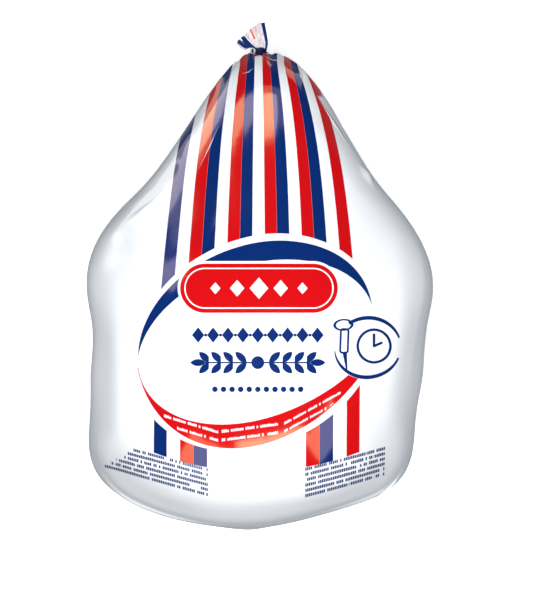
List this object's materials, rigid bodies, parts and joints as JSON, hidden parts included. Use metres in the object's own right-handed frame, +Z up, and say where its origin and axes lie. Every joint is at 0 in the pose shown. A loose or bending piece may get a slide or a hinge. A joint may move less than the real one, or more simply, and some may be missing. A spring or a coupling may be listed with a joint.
{
  "type": "bagged whole turkey",
  "caption": "Whole oven-ready turkey in a tight printed shrink bag, lying breast up, the bag's gathered neck closed by a crimped clip with a short ruffled tuft of film.",
  "frame": {"origin": "middle of the bounding box, on the surface that the bag lies on", "axes": "+Z up out of the breast; +Y from the breast end to the clip; +X to the right, seen from above with the clip away from the viewer"},
  "size_m": [0.2452, 0.356, 0.1762],
  "materials": {
    "printed_film": "opaque white shrink film, glossy, with printed stripes",
    "clip": "dark lacquered band, satin"
  },
  "bodies": {
    "root": {"bagged_turkey": "printed_film", "neck_clip": "clip"}
  },
  "joints": []
}
